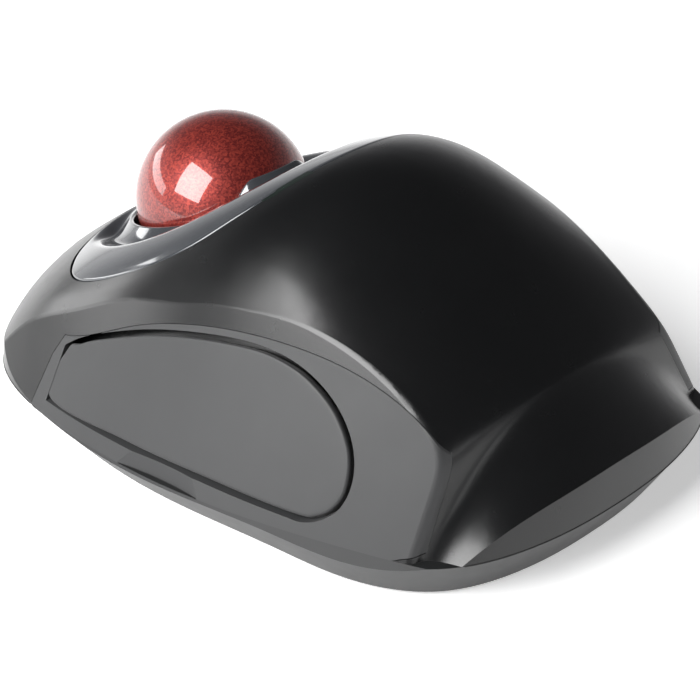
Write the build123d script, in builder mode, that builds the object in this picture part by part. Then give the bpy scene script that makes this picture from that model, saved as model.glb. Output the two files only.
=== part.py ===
from build123d import *
import math
import os

# ---------------------------------------------------------------------------
# Wireless trackball mouse. Millimetres, +X right, +Y towards the nose, +Z up,
# origin at the desk under the middle of the footprint.
# ---------------------------------------------------------------------------

# overall sizes
LENGTH = 114.6
WIDTH = 94.4
CREST_Z = 48.8
BALL_D = 31.0

# ball and its seat
BALL_Y = 34.2
BALL_Z = 26.3
BALL_GAP = 0.5
CUP_T = 1.6
RING_TILT = 20.0
RING_GAP = 0.7
RING_W = 1.7
RING_RAISE = 5.6
EJECT_D = 13.0
BEARING_D = 2.4

# shells
WALL = 2.0
FOOT = 0.8
FLOOR_T = 2.0
TUCK = 5.0
SEAM_Z = 7.5
SEAM_TILT = 1.85
PLAN_LEAN = 6.6
SIDE_LEAN = 29.7
SIDE_Z = 8.2
SIDE_WALL = 4.6
RIDGE_R = 1.8
BEZEL_T = 2.0
BEZEL_GAP = 0.35

# side panels and buttons
PANEL_T = 1.5
PANEL_GAP = 0.12
BTN_GROOVE = 0.8
BTN_DEPTH = 1.4
BTN_T = 1.5
PIN_D = 1.6
PIN_CLEAR = 0.05

# cells and door
CELL_D = 14.2
CELL_L = 49.6
CELL_X = 8.2
CELL_Y = -20.5
CELL_GAP = 0.5
DOOR_T = 1.4
DOOR_GAP = 0.3
SPRING_L = 4.0

# stored receiver
RX_T = 6.2
RX_W = 14.4
RX_CAP = 6.4
PLUG_T = 4.5
PLUG_W = 12.0
PLUG_L = 11.6
RX_X = -23.0
RX_Y = -13.0
RX_GAP = 0.35

# power switch
KNOB_X = 24.0
KNOB_Y = -13.0
KNOB_TRAVEL = 2.6

# electronics
BOARD_T = 1.2
BOARD_Z = 4.6

SX = WIDTH / 94.4
SY = LENGTH / 114.6
SZ = CREST_Z / 48.8
BALL_R = BALL_D / 2
FLOOR_Z = FOOT + FLOOR_T
CELL_Z = FLOOR_Z + 0.6 + CELL_D / 2
LEAN_T = math.tan(math.radians(SIDE_LEAN))

# crown height and shoulder height of the shell, station by station
STATIONS = [
    (-60.5, 8.0, -14.0),
    (-52.5, 20.2, 3.5),
    (-44.5, 27.8, 18.0),
    (-36.5, 33.4, 25.4),
    (-27.5, 38.9, 28.4),
    (-17.5, 44.2, 30.0),
    (-8.5, 47.6, 31.0),
    (-0.5, 48.0, 32.0),
    (7.5, 45.4, 32.0),
    (15.5, 41.2, 30.8),
    (24.5, 35.8, 27.6),
    (33.5, 30.6, 23.6),
    (41.5, 26.3, 19.2),
    (48.5, 22.4, 13.9),
    (55.5, 17.4, 7.5),
    (62.0, 10.0, -4.0),
]
SHOULDER_X = 32.8
SPAN_X = 52.0

# half of the seam outline, rear to nose
OUTLINE = [
    (0.0, -57.3),
    (17.0, -55.7),
    (30.0, -50.2),
    (38.4, -38.8),
    (42.8, -22.4),
    (46.8, -2.5),
    (48.0, 11.5),
    (47.0, 27.5),
    (43.4, 42.0),
    (36.0, 50.4),
    (19.0, 55.9),
    (0.0, 57.3),
]

# side face, seen from above at the seam
SIDE_LINE = [
    (25.5, -60.5),
    (29.2, -55.2),
    (36.6, -38.5),
    (43.2, -16.9),
    (46.5, 3.5),
    (46.7, 19.5),
    (45.0, 35.5),
    (40.2, 54.2),
    (38.0, 61.5),
]

# eye-shaped surround, half outline seen from above, rear middle to front middle
EYE = [
    (0.0, 1.5),
    (9.5, 2.4),
    (18.0, 4.9),
    (25.6, 9.8),
    (30.0, 16.0),
    (32.4, 22.6),
    (33.4, 28.6),
    (33.0, 34.2),
    (30.2, 39.4),
    (23.5, 45.0),
    (12.0, 49.4),
    (0.0, 50.6),
]

# side panel on the side face, (y, z): upper edge front to rear, then the lower return
PANEL_TOP = [
    (27.8, 18.4),
    (21.9, 20.7),
    (13.9, 25.0),
    (6.1, 28.2),
    (-1.5, 30.3),
    (-9.5, 31.6),
    (-17.8, 32.0),
    (-26.5, 31.3),
    (-35.5, 28.9),
    (-41.8, 25.7),
    (-47.0, 21.0),
    (-50.2, 17.2),
    (-51.0, 14.6),
    (-49.5, 12.2),
    (-46.0, 10.2),
    (-41.5, 8.2),
]
PANEL_LOW = [(-38.0, 2.0), (30.8, 2.0), (29.9, 9.0), (29.2, 15.0)]

# button on the same face, (y, z)
BTN_TOP = [
    (26.2, 17.0),
    (23.6, 18.8),
    (19.4, 21.1),
    (9.2, 25.5),
    (-0.5, 28.3),
    (-9.7, 29.8),
    (-15.6, 29.7),
    (-21.0, 28.4),
    (-26.6, 25.4),
    (-30.8, 21.0),
    (-32.4, 16.4),
    (-31.8, 13.4),
    (-29.6, 11.5),
    (-26.0, 10.9),
]
BTN_LOW = [(-9.4, 11.1), (7.4, 10.5), (26.5, 9.4)]


def shell_z(crest, shoulder, x):
    t = abs(x) / SHOULDER_X
    return crest - (crest - shoulder) * (0.33 * t**4 + 0.67 * t**2)


def outline_points(inset):
    pts = []
    for x, y in OUTLINE:
        r = math.hypot(x, y)
        k = (r - inset) / r
        pts.append((x * k * SX, y * k * SY))
    return pts


def outline_face(plane, inset):
    with BuildSketch(plane) as sk:
        with BuildLine():
            half = Spline(*outline_points(inset), tangents=[(1, 0), (-1, 0)])
            mirror(half, about=Plane.YZ)
        make_face()
    return sk.sketch.faces()[0]


def seam_plane(lift):
    return Plane(
        origin=(0, 0, SEAM_Z + lift),
        x_dir=(1, 0, 0),
        z_dir=(0, math.sin(math.radians(SEAM_TILT)), math.cos(math.radians(SEAM_TILT))),
    )


def crown_face(drop):
    xs = [-SPAN_X, -42, -SHOULDER_X, -21.6, -10.8, 0, 10.8, 21.6, SHOULDER_X, 42, SPAN_X]
    rows = []
    for y, crest, shoulder in STATIONS:
        rows.append([Vector(x * SX, y * SY, shell_z(crest, shoulder, x) * SZ - drop) for x in xs])
    return Face.make_surface_from_array_of_points(rows, tol=0.02, min_deg=3, max_deg=3)


def crown(drop, depth):
    # block under the crown surface, lowered by "drop" and "depth" deep
    with BuildPart() as p:
        extrude(crown_face(drop), amount=depth, dir=(0, 0, -1))
    return p.part


def plan_wall(inset):
    rise = 60.0
    with BuildPart() as p:
        add(outline_face(seam_plane(-6), inset - 6 * math.tan(math.radians(PLAN_LEAN))))
        add(outline_face(seam_plane(rise), inset + rise * math.tan(math.radians(PLAN_LEAN))))
        loft(ruled=True)
    return p.part


def side_block(inset):
    with BuildPart() as p:
        for z in (-2.0, 66.0):
            lean = (z - SIDE_Z) * LEAN_T + inset / math.cos(math.radians(SIDE_LEAN))
            with BuildSketch(Plane.XY.offset(z)):
                with BuildLine():
                    line = Spline(*[(x * SX - lean, y * SY) for x, y in SIDE_LINE])
                    Polyline(line @ 1, (-100, 61.5 * SY), (-100, -60.5 * SY), line @ 0)
                make_face()
        loft(ruled=True)
    return p.part


def outer_form():
    with BuildPart() as p:
        add(crown(0, 120))
        add(plan_wall(0), mode=Mode.INTERSECT, clean=False)
        block = side_block(0)
        add(block, mode=Mode.INTERSECT, clean=False)
        add(block.mirror(Plane.YZ), mode=Mode.INTERSECT, clean=False)
        add(half_space(0, True), mode=Mode.INTERSECT, clean=False)
        ridges = [e for e in p.edges() if e.length > 90 and e.center().Z > 25 and abs(e.center().X) > 20]
        fillet(ridges, radius=RIDGE_R)
    return p.part


def room_block(inset, low):
    # straight-walled block that follows the plan outline
    with BuildPart() as p:
        with BuildSketch(Plane.XY.offset(low)):
            with BuildLine():
                pts = outline_points(inset)
                left = [(-x, y) for x, y in reversed(pts[1:-1])]
                Polyline(*pts, *left, close=True)
            make_face()
        extrude(amount=90)
    return p.part


def inner_form():
    # hollow of the upper shell
    with BuildPart() as p:
        add(crown(WALL * 1.12, 120))
        add(room_block(WALL + 1.4, -10), mode=Mode.INTERSECT, clean=False)
        block = side_block(SIDE_WALL)
        add(block, mode=Mode.INTERSECT, clean=False)
        add(block.mirror(Plane.YZ), mode=Mode.INTERSECT, clean=False)
    return p.part


def half_space(lift, up):
    with BuildPart() as p:
        with BuildSketch(seam_plane(lift)):
            Rectangle(240, 240)
        extrude(amount=140 if up else -60)
    return p.part


def side_frame(sx, y, z):
    # local frame on the side face: x forward, y up the slope, z out of the body
    lean = math.radians(SIDE_LEAN)
    x = side_x(y) - (z - SIDE_Z) * LEAN_T
    return Plane(
        origin=(sx * x, y, z),
        x_dir=(0, 1, 0),
        z_dir=(sx * math.cos(lean), 0, math.sin(lean)),
    )


def side_x(y):
    pts = [(sy * SY, sx * SX) for sx, sy in SIDE_LINE]
    for (y0, x0), (y1, x1) in zip(pts, pts[1:]):
        if y <= y1:
            return x0 + (x1 - x0) * (y - y0) / (y1 - y0)
    return pts[-1][1]


def grown(points, amount):
    # the points of a closed outline moved outwards
    around = list(zip(points[-1:] + points[:-1], points, points[1:] + points[:1]))
    turn = math.copysign(1, sum(p[0] * q[1] - q[0] * p[1] for p, q, _ in around))
    moved = []
    for before, here, after in around:
        dx = after[0] - before[0]
        dy = after[1] - before[1]
        step = turn * amount / math.hypot(dx, dy)
        moved.append((here[0] + dy * step, here[1] - dx * step))
    return moved


def side_prism(curved, straight, grow, sx):
    # an outline on the side, part curved and part straight, pushed sideways through the body
    points = grown([(y * SY, z * SZ) for y, z in curved + straight], grow)
    with BuildPart() as p:
        with BuildSketch(Plane.YZ):
            with BuildLine():
                Spline(*points[: len(curved)])
                Polyline(*points[len(curved) - 1 :], points[0])
            make_face()
        extrude(amount=sx * 80)
    return p.part


def panel_prism(grow, sx):
    return side_prism(PANEL_TOP, PANEL_LOW, grow, sx)


def button_prism(grow, sx):
    return side_prism(BTN_TOP, BTN_LOW, grow, sx)


def eye_prism(grow):
    # the eye outline pushed up through the crown
    right = [(x * SX, BALL_Y + (y - 34.2) * SY) for x, y in EYE]
    left = [(-x, y) for x, y in reversed(right[1:-1])]
    with BuildPart() as p:
        with BuildSketch(Plane.XY.offset(FOOT)):
            with BuildLine():
                half = Spline(*grown(right + left, grow)[: len(EYE)], tangents=[(1, 0), (-1, 0)])
                mirror(half, about=Plane.YZ)
            make_face()
        extrude(amount=80)
    return p.part


def side_slab(near, far, sx):
    # layer of the side face between two depths, measured square to the face
    with BuildPart() as p:
        add(side_block(near))
        add(side_block(far), mode=Mode.SUBTRACT)
        if sx < 0:
            mirror(about=Plane.YZ, mode=Mode.REPLACE)
    return p.part


def tube(plane, outer, inner, length):
    with BuildPart() as p:
        with BuildSketch(plane):
            Circle(outer)
            if inner > 0:
                Circle(inner, mode=Mode.SUBTRACT)
        extrude(amount=length)
    return p.part


def block(x0, x1, y0, y1, z0, z1):
    with BuildPart() as p:
        with Locations(((x0 + x1) / 2, (y0 + y1) / 2, (z0 + z1) / 2)):
            Box(x1 - x0, y1 - y0, z1 - z0)
    return p.part


def ring_plane(lift):
    t = math.radians(RING_TILT)
    n = (0, math.sin(t), math.cos(t))
    return Plane(
        origin=(0, BALL_Y + n[1] * lift, BALL_Z + n[2] * lift),
        x_dir=(1, 0, 0),
        z_dir=n,
    )


def ring_sweep(points):
    # revolve a closed (radius, height) profile about the tilted ring axis
    frame = ring_plane(0)
    with BuildPart() as p:
        with BuildSketch(Plane(origin=frame.origin, x_dir=frame.x_dir, z_dir=-frame.y_dir)):
            Polygon(*points, align=None)
        revolve(axis=Axis(frame.origin, frame.z_dir), revolution_arc=360)
    return p.part


OUTER = outer_form()
INNER = inner_form()
HOLE_R = BALL_R + RING_GAP
CUP_IN = BALL_R + BALL_GAP
CUP_OUT = CUP_IN + CUP_T
BAY_X = CELL_X + CELL_D / 2 + CELL_GAP
BAY_Y0 = CELL_Y * SY - CELL_L / 2 - CELL_GAP
BAY_Y1 = CELL_Y * SY + CELL_L / 2 + CELL_GAP + SPRING_L
BAY_Z1 = CELL_Z + CELL_D / 2 + CELL_GAP
BAY_T = 1.2
SCREW_XY = [(-29.0, -33.0), (29.0, -33.0), (-30.5, 43.5), (30.5, 43.5)]
SCREW_SITES = [(x * SX, y * SY) for x, y in SCREW_XY]
SW_Y = 10.0 * SY
SW_Z = 16.5 * SZ
SLIDE_X = KNOB_X
RX_H = RX_CAP + PLUG_L + 0.4
LEG_ANGLES = (50, 130, 230, 310)
BEARING_ANGLES = (90, 210, 330)
STANDOFFS = [(-22.0, 14.0), (22.0, 14.0), (-21.0, 42.0), (21.0, 42.0)]
SW_DEPTH = 6.0
SW_BODY = (11.0, 5.6, 6.2)
RIB_END = 4.9
HINGE_Y = -27.0 * SY
HINGE_Z = 18.0 * SZ
HINGE_DEPTH = 3.7
SENSOR_ELEV = 35.0
CUP_TOP = -2.0
LED_X = -12.5 * SX


def depth_frame(sx, y, z, depth):
    f = side_frame(sx, y, z)
    return Plane(origin=f.origin - f.z_dir * depth, x_dir=f.x_dir, z_dir=f.z_dir)


def hinge_axis_plane(sx, start):
    # plane square to the button's hinge pin, "start" along the pin from its middle
    f = depth_frame(sx, HINGE_Y, HINGE_Z, HINGE_DEPTH)
    up = f.y_dir
    return Plane(origin=f.origin + up * start, x_dir=(0, 1, 0), z_dir=up)


def switch_box(sx, grow):
    with BuildPart() as p:
        with BuildSketch(depth_frame(sx, SW_Y, SW_Z, SW_DEPTH)):
            Rectangle(SW_BODY[0] + grow, SW_BODY[1] + grow)
        extrude(amount=-SW_BODY[2])
    return p.part


def sensor_plane(distance):
    e = math.radians(SENSOR_ELEV)
    d = (0, -math.cos(e), -math.sin(e))
    return Plane(
        origin=(0, BALL_Y + d[1] * distance, BALL_Z + d[2] * distance),
        x_dir=(1, 0, 0),
        z_dir=d,
    )


def bearing_plane(deg, distance):
    # plane facing outwards through a bearing, at a distance from the ball's centre
    a = math.radians(deg)
    e = math.radians(-35)
    d = (math.cos(e) * math.cos(a), math.cos(e) * math.sin(a), math.sin(e))
    return Plane(
        origin=(d[0] * distance, BALL_Y + d[1] * distance, BALL_Z + d[2] * distance),
        z_dir=d,
    )


def indicator_block(grow):
    with BuildPart() as p:
        extrude(crown_face(0.02 - grow), amount=2.3 + grow, dir=(0, 0, -1))
        add(eye_prism(0.55 + grow), mode=Mode.INTERSECT, clean=False)
        add(eye_prism(-1.0 - grow), mode=Mode.SUBTRACT, clean=False)
        add(
            block(LED_X - 4.2 - grow, LED_X + 4.2 + grow, -20 * SY, 20 * SY, 10, 70),
            mode=Mode.INTERSECT,
            clean=False,
        )
    return p.part


# --- base shell -------------------------------------------------------------
with BuildPart() as base_shell:
    add(outline_face(Plane.XY.offset(FOOT), TUCK))
    add(outline_face(seam_plane(0), 0))
    loft(ruled=True)
    trim = side_block(0)
    add(trim, mode=Mode.INTERSECT, clean=False)
    add(trim.mirror(Plane.YZ), mode=Mode.INTERSECT, clean=False)
    with BuildPart(mode=Mode.PRIVATE) as room:
        with BuildSketch(Plane.XY.offset(FLOOR_Z)):
            with BuildLine():
                low = outline_points(TUCK + WALL)
                left = [(-x, y) for x, y in reversed(low[1:-1])]
                Polyline(*low, *left, close=True)
            make_face()
        with BuildSketch(Plane.XY.offset(12)):
            with BuildLine():
                high = outline_points(WALL + 0.6)
                left = [(-x, y) for x, y in reversed(high[1:-1])]
                Polyline(*high, *left, close=True)
            make_face()
        loft(ruled=True)
    add(room.part, mode=Mode.SUBTRACT, clean=False)
    # cell bay walls and roof
    add(block(-BAY_X - BAY_T, BAY_X + BAY_T, BAY_Y0 - BAY_T, BAY_Y1 + BAY_T, FLOOR_Z - 0.5, BAY_Z1 + BAY_T))
    add(block(-BAY_X, BAY_X, BAY_Y0, BAY_Y1, FLOOR_Z, BAY_Z1), mode=Mode.SUBTRACT)
    add(block(-BAY_X + 0.3, BAY_X - 0.3, BAY_Y0 + 0.3, BAY_Y1 - 0.3, 0, FLOOR_Z + 1), mode=Mode.SUBTRACT)
    door_x = BAY_X + 1.6
    add(
        block(-door_x, door_x, BAY_Y0 - 1.6, BAY_Y1 + 1.6, 0, FOOT + DOOR_T),
        mode=Mode.SUBTRACT,
    )
    # receiver well
    wx = RX_T / 2 + RX_GAP
    wy = RX_W / 2 + RX_GAP
    ry = RX_Y * SY
    add(block(RX_X - wx - 1, RX_X + wx + 1, ry - wy - 1, ry + wy + 1, FLOOR_Z - 0.5, FOOT + RX_H))
    add(block(RX_X - wx, RX_X + wx, ry - wy, ry + wy, 0, FOOT + RX_H + 1), mode=Mode.SUBTRACT)
    # switch slot
    ky = KNOB_Y * SY
    add(block(SLIDE_X - 2.0, SLIDE_X + 2.0, ky - 2.1, ky + KNOB_TRAVEL + 2.1, 0, 4), mode=Mode.SUBTRACT)
    # ball release hole
    add(tube(Plane.XY.offset(0).move(Location((0, BALL_Y, 0))), EJECT_D / 2, 0, 6), mode=Mode.SUBTRACT)
    # screw posts
    for px, py in SCREW_SITES:
        add(tube(Plane.XY.offset(FLOOR_Z - 0.4).move(Location((px, py, 0))), 2.6, 0, 6.4))
    for px, py in SCREW_SITES:
        add(tube(Plane.XY.offset(0).move(Location((px, py, 0))), 1.15, 0, 12), mode=Mode.SUBTRACT)
        add(tube(Plane.XY.offset(0).move(Location((px, py, 0))), 2.1, 0, FOOT + 1.6), mode=Mode.SUBTRACT)
    # cradle legs under the ball cup
    for deg in LEG_ANGLES:
        lx = 12.0 * math.cos(math.radians(deg))
        ly = BALL_Y + 12.0 * math.sin(math.radians(deg))
        add(tube(Plane.XY.offset(FLOOR_Z - 0.4).move(Location((lx, ly, 0))), 1.9, 0, 14))
    with BuildPart(mode=Mode.PRIVATE) as cup_space:
        with Locations((0, BALL_Y, BALL_Z)):
            Sphere(CUP_OUT)
    add(cup_space.part, mode=Mode.SUBTRACT)
    # standoffs under the main board
    for px, py in STANDOFFS:
        spot = Plane(origin=(px * SX, py * SY, FLOOR_Z - 0.4))
        add(tube(spot, 1.6, 0, BOARD_Z - FLOOR_Z + 0.4))
    # switch brackets
    for sx in (-1, 1):
        bx0 = 26.5 * SX
        bx1 = 33.0 * SX
        if sx > 0:
            add(block(bx0, bx1, SW_Y - 4, SW_Y + 4, FLOOR_Z - 0.4, 12.0))
        else:
            add(block(-bx1, -bx0, SW_Y - 4, SW_Y + 4, FLOOR_Z - 0.4, 12.0))
        add(switch_box(sx, 0.02), mode=Mode.SUBTRACT)
base_shell.part.label = "base_shell"

# --- upper shell ------------------------------------------------------------
EYE_HOLE = eye_prism(0)
with BuildPart() as top_shell:
    add(OUTER)
    add(INNER, mode=Mode.SUBTRACT, clean=False)
    with BuildPart(mode=Mode.PRIVATE) as ledge:
        extrude(crown_face(1.0), amount=2.9, dir=(0, 0, -1))
        add(eye_prism(2.4), mode=Mode.INTERSECT, clean=False)
        add(eye_prism(-1.8), mode=Mode.SUBTRACT, clean=False)
        add(OUTER, mode=Mode.INTERSECT, clean=False)
    add(EYE_HOLE, mode=Mode.SUBTRACT, clean=False)
    with BuildPart(mode=Mode.PRIVATE) as seat:
        add(ledge.part)
        with BuildPart(mode=Mode.PRIVATE) as lift_off:
            extrude(crown_face(-2.0), amount=BEZEL_T + 2.1, dir=(0, 0, -1))
            add(EYE_HOLE, mode=Mode.INTERSECT, clean=False)
        add(lift_off.part, mode=Mode.SUBTRACT, clean=False)
    add(seat.part, clean=False)
    for sx in (-1, 1):
        with BuildPart(mode=Mode.PRIVATE) as pocket:
            add(side_slab(-3, PANEL_T + 0.05, sx))
            add(panel_prism(PANEL_GAP, sx), mode=Mode.INTERSECT, clean=False)
        add(pocket.part, mode=Mode.SUBTRACT, clean=False)
        with BuildPart(mode=Mode.PRIVATE) as deep:
            add(side_slab(-3, PANEL_T + BTN_DEPTH, sx))
            add(button_prism(0.6, sx), mode=Mode.INTERSECT, clean=False)
        add(deep.part, mode=Mode.SUBTRACT, clean=False)
        # window for the button's push rib
        with BuildPart(mode=Mode.PRIVATE) as window:
            with BuildSketch(side_frame(sx, SW_Y, SW_Z)):
                Rectangle(6, 5.4)
            extrude(amount=-9)
        add(window.part, mode=Mode.SUBTRACT, clean=False)
        # hinge recess and the groove that holds the pin
        with BuildPart(mode=Mode.PRIVATE) as recess:
            with BuildSketch(side_frame(sx, HINGE_Y, HINGE_Z)):
                Rectangle(5.4, 7.4)
            extrude(amount=-9)
        add(recess.part, mode=Mode.SUBTRACT, clean=False)
        add(tube(hinge_axis_plane(sx, -5.3), PIN_D / 2 + 0.02, 0, 10.6), mode=Mode.SUBTRACT, clean=False)
    # screw columns reaching down to the posts of the base
    with BuildPart(mode=Mode.PRIVATE) as columns:
        for px, py in SCREW_SITES:
            add(tube(Plane.XY.offset(FLOOR_Z + 6.05).move(Location((px, py, 0))), 2.6, 0.9, 60))
        add(OUTER, mode=Mode.INTERSECT, clean=False)
        with BuildPart(mode=Mode.PRIVATE) as lower_part:
            add(crown(1.2, 120))
            block_in = side_block(SIDE_WALL - 1)
            add(block_in, mode=Mode.INTERSECT, clean=False)
            add(block_in.mirror(Plane.YZ), mode=Mode.INTERSECT, clean=False)
        add(lower_part.part, mode=Mode.INTERSECT, clean=False)
    add(columns.part, clean=False)
    add(indicator_block(0.06), mode=Mode.SUBTRACT, clean=False)
    # room for the ball cup and the touch ring under the ledge
    add(tube(ring_plane(-9), HOLE_R + 4.9, 0, 7.2), mode=Mode.SUBTRACT, clean=False)
top_shell.part.label = "top_shell"

# --- eye-shaped bezel with the raised rim round the ball --------------------
DISH = [
    (0, -40),
    (HOLE_R, -40),
    (HOLE_R, 0.3),
    (HOLE_R + RING_W * 0.5, 0.55),
    (HOLE_R + RING_W, 0.1),
    (HOLE_R + RING_W + 1.6, -1.7),
    (HOLE_R + RING_W + 4.2, -1.3),
    (HOLE_R + RING_W + 9.0, 1.6),
    (HOLE_R + RING_W + 17.0, 9.5),
    (HOLE_R + RING_W + 17.0, 60),
    (0, 60),
]
UNDER = [(r if r < HOLE_R + 0.1 else r, h - 1.7) for r, h in DISH[2:9]]
with BuildPart() as bezel:
    with BuildPart(mode=Mode.PRIVATE) as cap:
        extrude(crown_face(0), amount=BEZEL_T, dir=(0, 0, -1))
        add(eye_prism(-BEZEL_GAP), mode=Mode.INTERSECT, clean=False)
        add(ring_sweep(DISH), mode=Mode.SUBTRACT, clean=False)
    with BuildPart(mode=Mode.PRIVATE) as bowl:
        add(ring_sweep(DISH[2:9] + list(reversed(UNDER))))
        add(eye_prism(-BEZEL_GAP - 2.2), mode=Mode.INTERSECT, clean=False)
        add(crown(0.3, 60), mode=Mode.INTERSECT, clean=False)
    with BuildPart(mode=Mode.PRIVATE) as brow:
        add(
            ring_sweep(
                [
                    (HOLE_R, -1.0),
                    (HOLE_R, RING_RAISE),
                    (HOLE_R + RING_W, RING_RAISE - 0.3),
                    (HOLE_R + RING_W + 1.2, -2.2),
                ]
            )
        )
        side_len = HOLE_R + 4
        half_w = HOLE_R * math.sin(math.radians(31))
        add(
            block(-half_w, half_w, BALL_Y - side_len - 4, BALL_Y, BALL_Z - 4, BALL_Z + 22),
            mode=Mode.INTERSECT,
            clean=False,
        )
    add(bowl.part)
    add(brow.part, clean=False)
    add(cap.part, clean=False)
    add(indicator_block(0.06), mode=Mode.SUBTRACT, clean=False)
bezel.part.label = "bezel"

# --- side panels, buttons, hinge pins, switches -----------------------------


def make_panel(sx):
    with BuildPart() as p:
        add(OUTER)
        add(side_slab(-0.5, PANEL_T, sx), mode=Mode.INTERSECT, clean=False)
        add(panel_prism(0, sx), mode=Mode.INTERSECT, clean=False)
        add(button_prism(BTN_GROOVE, sx), mode=Mode.SUBTRACT, clean=False)
    return p.part


def make_button(sx):
    with BuildPart() as p:
        add(side_slab(0, BTN_T, sx))
        add(button_prism(0, sx), mode=Mode.INTERSECT, clean=False)
        # push rib towards the switch
        with BuildPart(mode=Mode.PRIVATE) as rib:
            with BuildSketch(depth_frame(sx, SW_Y, SW_Z, BTN_T - 0.4)):
                Rectangle(3.0, 2.8)
            extrude(amount=-(RIB_END - BTN_T + 0.4))
        add(rib.part, clean=False)
        # hinge knuckle
        with BuildPart(mode=Mode.PRIVATE) as knuckle:
            add(tube(hinge_axis_plane(sx, -3.2), 1.7, 0, 6.4))
            with BuildSketch(depth_frame(sx, HINGE_Y, HINGE_Z, BTN_T - 0.5)):
                Rectangle(3.0, 6.4)
            extrude(amount=-(HINGE_DEPTH - BTN_T + 0.5))
        add(knuckle.part, clean=False)
        add(tube(hinge_axis_plane(sx, -9), PIN_D / 2 + PIN_CLEAR, 0, 18), mode=Mode.SUBTRACT, clean=False)
    return p.part


def make_pin(sx):
    with BuildPart() as p:
        add(tube(hinge_axis_plane(sx, -5.2), PIN_D / 2, 0, 10.4))
    return p.part


def make_switch(sx):
    with BuildPart() as p:
        add(switch_box(sx, 0))
        add(tube(depth_frame(sx, SW_Y, SW_Z, SW_DEPTH + 2.4), 1.0, 0, 5), mode=Mode.SUBTRACT)
    return p.part


def make_plunger(sx):
    with BuildPart() as p:
        add(tube(depth_frame(sx, SW_Y, SW_Z, SW_DEPTH + 1.4), 0.92, 0, SW_DEPTH + 1.4 - RIB_END - 0.04))
    return p.part


with BuildPart() as left_panel:
    add(make_panel(-1))
left_panel.part.label = "left_panel"
with BuildPart() as right_panel:
    add(make_panel(1))
right_panel.part.label = "right_panel"
with BuildPart() as left_button:
    add(make_button(-1))
left_button.part.label = "left_button"
with BuildPart() as right_button:
    add(make_button(1))
right_button.part.label = "right_button"
with BuildPart() as left_hinge_pin:
    add(make_pin(-1))
left_hinge_pin.part.label = "left_hinge_pin"
with BuildPart() as right_hinge_pin:
    add(make_pin(1))
right_hinge_pin.part.label = "right_hinge_pin"
with BuildPart() as left_switch:
    add(make_switch(-1))
left_switch.part.label = "left_switch"
with BuildPart() as right_switch:
    add(make_switch(1))
right_switch.part.label = "right_switch"
with BuildPart() as left_plunger:
    add(make_plunger(-1))
left_plunger.part.label = "left_plunger"
with BuildPart() as right_plunger:
    add(make_plunger(1))
right_plunger.part.label = "right_plunger"

# --- indicator ---------------------------------------------------------------
with BuildPart() as indicator_window:
    add(indicator_block(0))
indicator_window.part.label = "indicator_window"
window_low = indicator_window.part.bounding_box()
with BuildPart() as indicator_led:
    add(
        block(
            LED_X - 1.0,
            LED_X + 1.0,
            window_low.center().Y - 0.6,
            window_low.center().Y + 0.6,
            window_low.min.Z - 1.2,
            window_low.min.Z - 0.1,
        )
    )
indicator_led.part.label = "indicator_led"

# --- ball in three layers ------------------------------------------------------
with BuildPart() as ball_core:
    with Locations((0, BALL_Y, BALL_Z)):
        Sphere(BALL_R - 3.2)
ball_core.part.label = "ball_core"
with BuildPart() as ball_pearl:
    with Locations((0, BALL_Y, BALL_Z)):
        Sphere(BALL_R - 0.6)
        Sphere(BALL_R - 3.0, mode=Mode.SUBTRACT)
ball_pearl.part.label = "ball_pearl"
with BuildPart() as ball_coat:
    with Locations((0, BALL_Y, BALL_Z)):
        Sphere(BALL_R)
        Sphere(BALL_R - 0.4, mode=Mode.SUBTRACT)
ball_coat.part.label = "ball_coat"

# --- ball cup, bearings, sensor --------------------------------------------------
with BuildPart() as ball_cup:
    with Locations((0, BALL_Y, BALL_Z)):
        Sphere(CUP_OUT)
        Sphere(CUP_IN, mode=Mode.SUBTRACT)
    with BuildSketch(ring_plane(CUP_TOP)):
        Rectangle(60, 60)
    extrude(amount=60, mode=Mode.SUBTRACT)
    add(tube(Plane(origin=(0, BALL_Y, 0)), EJECT_D / 2, 0, 20), mode=Mode.SUBTRACT)
    add(tube(sensor_plane(10), 3.4, 0, 12), mode=Mode.SUBTRACT)
    for deg in BEARING_ANGLES:
        add(tube(bearing_plane(deg, 10), BEARING_D / 2 + 0.02, 0, 12), mode=Mode.SUBTRACT)
ball_cup.part.label = "ball_cup"
with BuildPart() as ball_bearings:
    for deg in BEARING_ANGLES:
        with Locations(bearing_plane(deg, BALL_R + BEARING_D / 2 + 0.03).origin):
            Sphere(BEARING_D / 2)
ball_bearings.part.label = "ball_bearings"
with BuildPart() as sensor_lens:
    with BuildSketch(sensor_plane(CUP_OUT + 0.1)):
        Circle(4.4)
    extrude(amount=1.4)
    with BuildSketch(sensor_plane(CUP_OUT - 0.9)):
        Circle(2.6)
    extrude(amount=1.4)
sensor_lens.part.label = "sensor_lens"
with BuildPart() as sensor_chip:
    with BuildSketch(sensor_plane(CUP_OUT + 1.55)):
        Rectangle(8, 8)
    extrude(amount=2.2)
sensor_chip.part.label = "sensor_chip"
with BuildPart() as sensor_board:
    with BuildSketch(sensor_plane(CUP_OUT + 3.8)):
        Rectangle(16, 12)
    extrude(amount=1.0)
sensor_board.part.label = "sensor_board"
with BuildPart() as touch_ring:
    add(
        ring_sweep(
            [
                (HOLE_R + 2.4, -3.85),
                (HOLE_R + 2.4, -3.5),
                (HOLE_R + 4.6, -3.5),
                (HOLE_R + 4.6, -3.85),
            ]
        )
    )
touch_ring.part.label = "touch_ring"

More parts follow.
